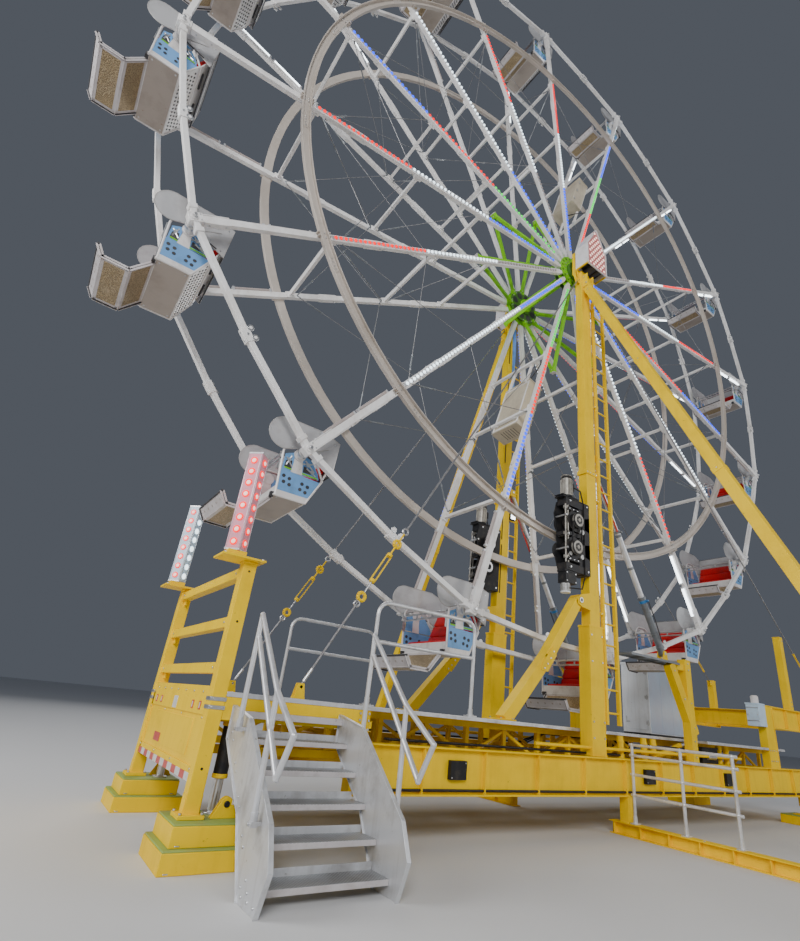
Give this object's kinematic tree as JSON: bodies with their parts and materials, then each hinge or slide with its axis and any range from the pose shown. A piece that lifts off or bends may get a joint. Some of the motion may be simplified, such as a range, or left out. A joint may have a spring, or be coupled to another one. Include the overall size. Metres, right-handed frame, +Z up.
{
  "type": "ferris wheel",
  "caption": "Portable ferris wheel on a trailer: twin spoked rims with open bench seats that stay level, two towers, side braces, boarding deck and stair.",
  "frame": {"origin": "centre of the bounding box on the ground", "axes": "+X along the trailer from the boarding end to the neck, +Y along the axle, +Z up"},
  "size_m": [16.1086, 10.7, 17.5653],
  "materials": {
    "wheel_white": "worn white paint, scuffed and rusty at the joints",
    "base_yellow": "gloss yellow paint with scuffs",
    "hub_green": "lime green paint",
    "steel_dark": "greasy black machinery",
    "steel_grey": "bare cylinder steel",
    "aluminium": "worn tread plate and grey tube",
    "cabinet_white": "white painted sheet",
    "seat_shell": "painted sheet, pale front tray, clear head shields",
    "light_clear": "pale lamp housing",
    "wire_rope": "galvanised wire rope with yellow hooks"
  },
  "bodies": {
    "base": {"trailer_frame": "base_yellow", "boarding_deck": "aluminium", "centre_deck": "aluminium", "portal_frame": "base_yellow", "end_panel": "base_yellow", "near_light_tower": "light_clear", "far_light_tower": "light_clear", "near_boarding_pad": "base_yellow", "far_boarding_pad": "base_yellow", "near_rear_jack": "base_yellow", "far_rear_jack": "base_yellow", "boarding_stair": "aluminium", "near_deck_rail": "aluminium", "far_deck_rail": "aluminium", "near_tower": "base_yellow", "far_tower": "base_yellow", "near_ladder": "base_yellow", "far_ladder": "base_yellow", "near_drive_unit": "steel_dark", "far_drive_unit": "steel_dark", "near_lift_cylinder": "steel_grey", "far_lift_cylinder": "steel_grey", "near_lift_frame": "base_yellow", "far_lift_frame": "base_yellow", "near_marquee": "cabinet_white", "far_marquee": "cabinet_white", "near_side_brace": "base_yellow", "far_side_brace": "base_yellow", "near_sill": "base_yellow", "far_sill": "base_yellow", "near_front_guy": "wire_rope", "far_front_guy": "wire_rope", "near_rear_guy": "wire_rope", "far_rear_guy": "wire_rope", "generator_cabinet": "cabinet_white", "guard_fence": "aluminium"},
    "wheel": {"near_spokes": "wheel_white", "far_spokes": "wheel_white", "near_rim": "wheel_white", "far_rim": "wheel_white", "near_drive_ring": "wheel_white", "far_drive_ring": "wheel_white", "axle_and_star": "hub_green"},
    "seat_01": {"seat_01": "seat_shell"},
    "seat_02": {"seat_02": "seat_shell"},
    "seat_03": {"seat_03": "seat_shell"},
    "seat_04": {"seat_04": "seat_shell"},
    "seat_05": {"seat_05": "seat_shell"},
    "seat_06": {"seat_06": "seat_shell"},
    "seat_07": {"seat_07": "seat_shell"},
    "seat_08": {"seat_08": "seat_shell"},
    "seat_09": {"seat_09": "seat_shell"},
    "seat_10": {"seat_10": "seat_shell"},
    "seat_11": {"seat_11": "seat_shell"},
    "seat_12": {"seat_12": "seat_shell"},
    "seat_13": {"seat_13": "seat_shell"},
    "seat_14": {"seat_14": "seat_shell"},
    "seat_15": {"seat_15": "seat_shell"},
    "seat_16": {"seat_16": "seat_shell"}
  },
  "joints": [
    {"name": "wheel_spin", "type": "hinge", "parent": "base", "child": "wheel", "pos_m": [0.139, 0, 9.7], "axis": [0, 1, 0], "continuous": true},
    {"name": "seat_01_pivot", "type": "hinge", "parent": "wheel", "child": "seat_01", "pos_m": [-0.69702, 0, 17.15326], "axis": [0, 1, 0], "continuous": true},
    {"name": "seat_02_pivot", "type": "hinge", "parent": "wheel", "child": "seat_02", "pos_m": [2.21886, 0, 16.90584], "axis": [0, 1, 0], "continuous": true},
    {"name": "seat_03_pivot", "type": "hinge", "parent": "wheel", "child": "seat_03", "pos_m": [4.8181, 0, 15.5614], "axis": [0, 1, 0], "continuous": true},
    {"name": "seat_04_pivot", "type": "hinge", "parent": "wheel", "child": "seat_04", "pos_m": [6.70498, 0, 13.32462], "axis": [0, 1, 0], "continuous": true},
    {"name": "seat_05_pivot", "type": "hinge", "parent": "wheel", "child": "seat_05", "pos_m": [7.59226, 0, 10.53602], "axis": [0, 1, 0], "continuous": true},
    {"name": "seat_06_pivot", "type": "hinge", "parent": "wheel", "child": "seat_06", "pos_m": [7.34484, 0, 7.62014], "axis": [0, 1, 0], "continuous": true},
    {"name": "seat_07_pivot", "type": "hinge", "parent": "wheel", "child": "seat_07", "pos_m": [6.0004, 0, 5.0209], "axis": [0, 1, 0], "continuous": true},
    {"name": "seat_08_pivot", "type": "hinge", "parent": "wheel", "child": "seat_08", "pos_m": [3.76362, 0, 3.13402], "axis": [0, 1, 0], "continuous": true},
    {"name": "seat_09_pivot", "type": "hinge", "parent": "wheel", "child": "seat_09", "pos_m": [0.97502, 0, 2.24674], "axis": [0, 1, 0], "continuous": true},
    {"name": "seat_10_pivot", "type": "hinge", "parent": "wheel", "child": "seat_10", "pos_m": [-1.94086, 0, 2.49416], "axis": [0, 1, 0], "continuous": true},
    {"name": "seat_11_pivot", "type": "hinge", "parent": "wheel", "child": "seat_11", "pos_m": [-4.5401, 0, 3.8386], "axis": [0, 1, 0], "continuous": true},
    {"name": "seat_12_pivot", "type": "hinge", "parent": "wheel", "child": "seat_12", "pos_m": [-6.42698, 0, 6.07538], "axis": [0, 1, 0], "continuous": true},
    {"name": "seat_13_pivot", "type": "hinge", "parent": "wheel", "child": "seat_13", "pos_m": [-7.31426, 0, 8.86398], "axis": [0, 1, 0], "continuous": true},
    {"name": "seat_14_pivot", "type": "hinge", "parent": "wheel", "child": "seat_14", "pos_m": [-7.06684, 0, 11.77986], "axis": [0, 1, 0], "continuous": true},
    {"name": "seat_15_pivot", "type": "hinge", "parent": "wheel", "child": "seat_15", "pos_m": [-5.7224, 0, 14.3791], "axis": [0, 1, 0], "continuous": true},
    {"name": "seat_16_pivot", "type": "hinge", "parent": "wheel", "child": "seat_16", "pos_m": [-3.48562, 0, 16.26598], "axis": [0, 1, 0], "continuous": true}
  ],
  "couplings": [
    {"joint": "seat_01_pivot", "follows": "wheel_spin", "ratio": -1},
    {"joint": "seat_02_pivot", "follows": "wheel_spin", "ratio": -1},
    {"joint": "seat_03_pivot", "follows": "wheel_spin", "ratio": -1},
    {"joint": "seat_04_pivot", "follows": "wheel_spin", "ratio": -1},
    {"joint": "seat_05_pivot", "follows": "wheel_spin", "ratio": -1},
    {"joint": "seat_06_pivot", "follows": "wheel_spin", "ratio": -1},
    {"joint": "seat_07_pivot", "follows": "wheel_spin", "ratio": -1},
    {"joint": "seat_08_pivot", "follows": "wheel_spin", "ratio": -1},
    {"joint": "seat_09_pivot", "follows": "wheel_spin", "ratio": -1},
    {"joint": "seat_10_pivot", "follows": "wheel_spin", "ratio": -1},
    {"joint": "seat_11_pivot", "follows": "wheel_spin", "ratio": -1},
    {"joint": "seat_12_pivot", "follows": "wheel_spin", "ratio": -1},
    {"joint": "seat_13_pivot", "follows": "wheel_spin", "ratio": -1},
    {"joint": "seat_14_pivot", "follows": "wheel_spin", "ratio": -1},
    {"joint": "seat_15_pivot", "follows": "wheel_spin", "ratio": -1},
    {"joint": "seat_16_pivot", "follows": "wheel_spin", "ratio": -1}
  ]
}
